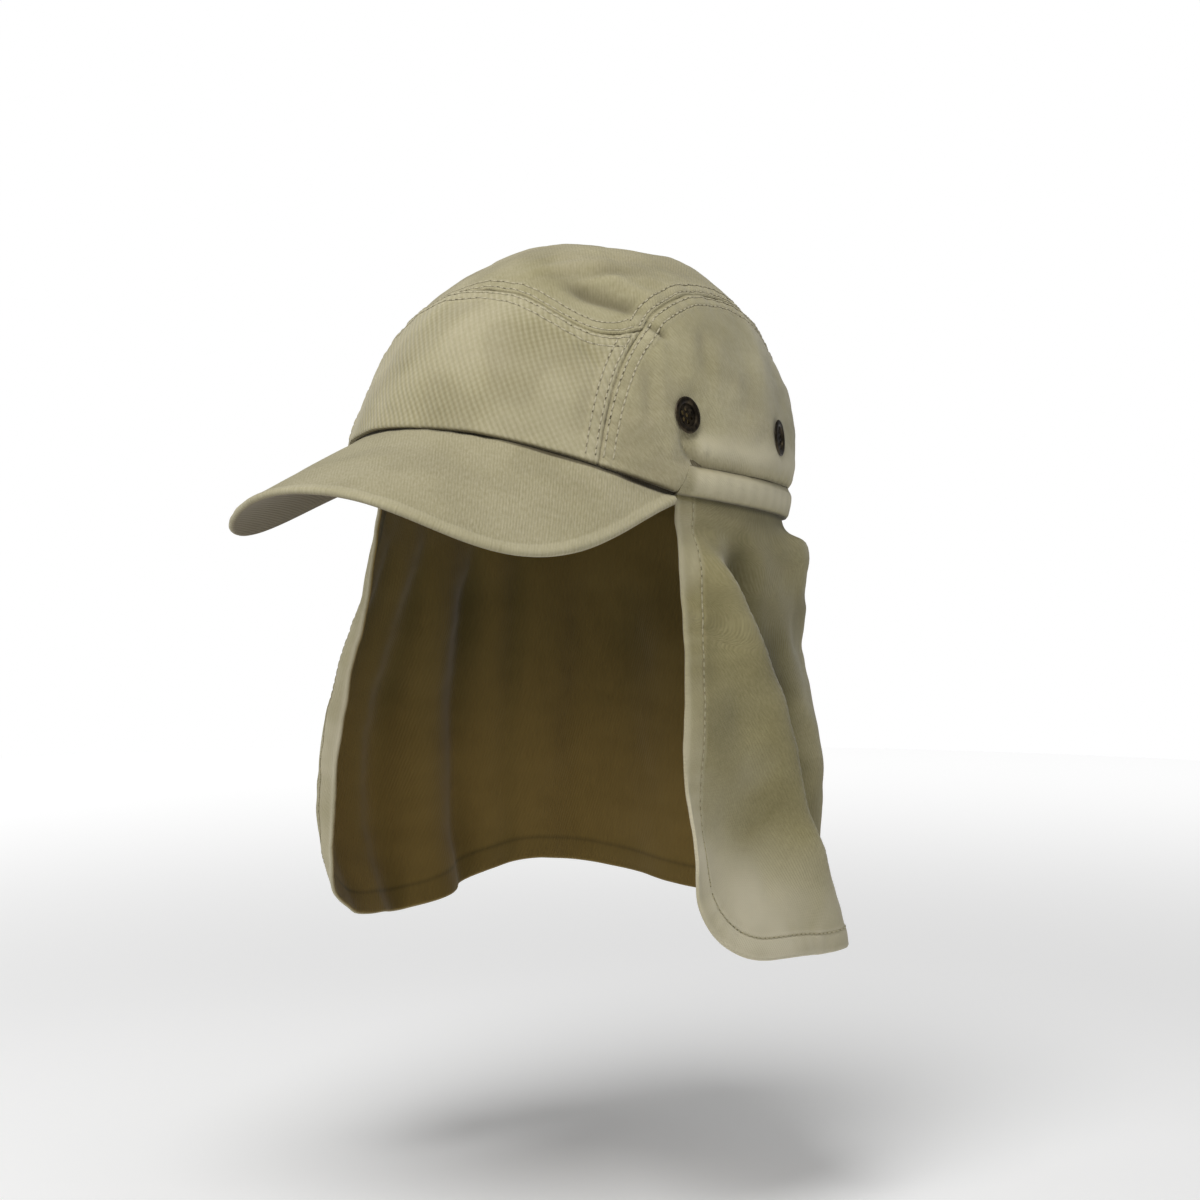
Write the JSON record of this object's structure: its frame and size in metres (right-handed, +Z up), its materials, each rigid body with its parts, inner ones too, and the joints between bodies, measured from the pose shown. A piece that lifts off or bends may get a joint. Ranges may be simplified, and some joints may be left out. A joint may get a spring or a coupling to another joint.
{
  "type": "sun cap with neck flap",
  "caption": "Cotton twill cap with a curved peak, an elastic band round the back, vent eyelets and a long neck flap, in its worn shape.",
  "frame": {"origin": "centre of the oval head opening, in the plane of the crown's lower edge, where a head carries the cap", "axes": "+Z up as worn, -Y the way the peak points, +X towards the wearer's left; the crown is tilted back by 10 degrees about X"},
  "size_m": [0.2196, 0.2769, 0.2914],
  "materials": {
    "crown_twill": "washed khaki cotton twill, matt",
    "peak_twill": "washed khaki cotton twill over a stiff core, matt",
    "flap_twill": "washed khaki cotton twill, matt",
    "eyelet_metal": "dark antique brass"
  },
  "bodies": {
    "root": {"front_panel": "crown_twill", "top_panel": "crown_twill", "side_panel_left": "crown_twill", "side_panel_right": "crown_twill", "back_band": "crown_twill", "peak": "peak_twill", "neck_flap": "flap_twill", "vent_eyelet_left_front": "eyelet_metal", "vent_eyelet_left_rear": "eyelet_metal", "vent_eyelet_right_front": "eyelet_metal", "vent_eyelet_right_rear": "eyelet_metal"}
  },
  "joints": []
}
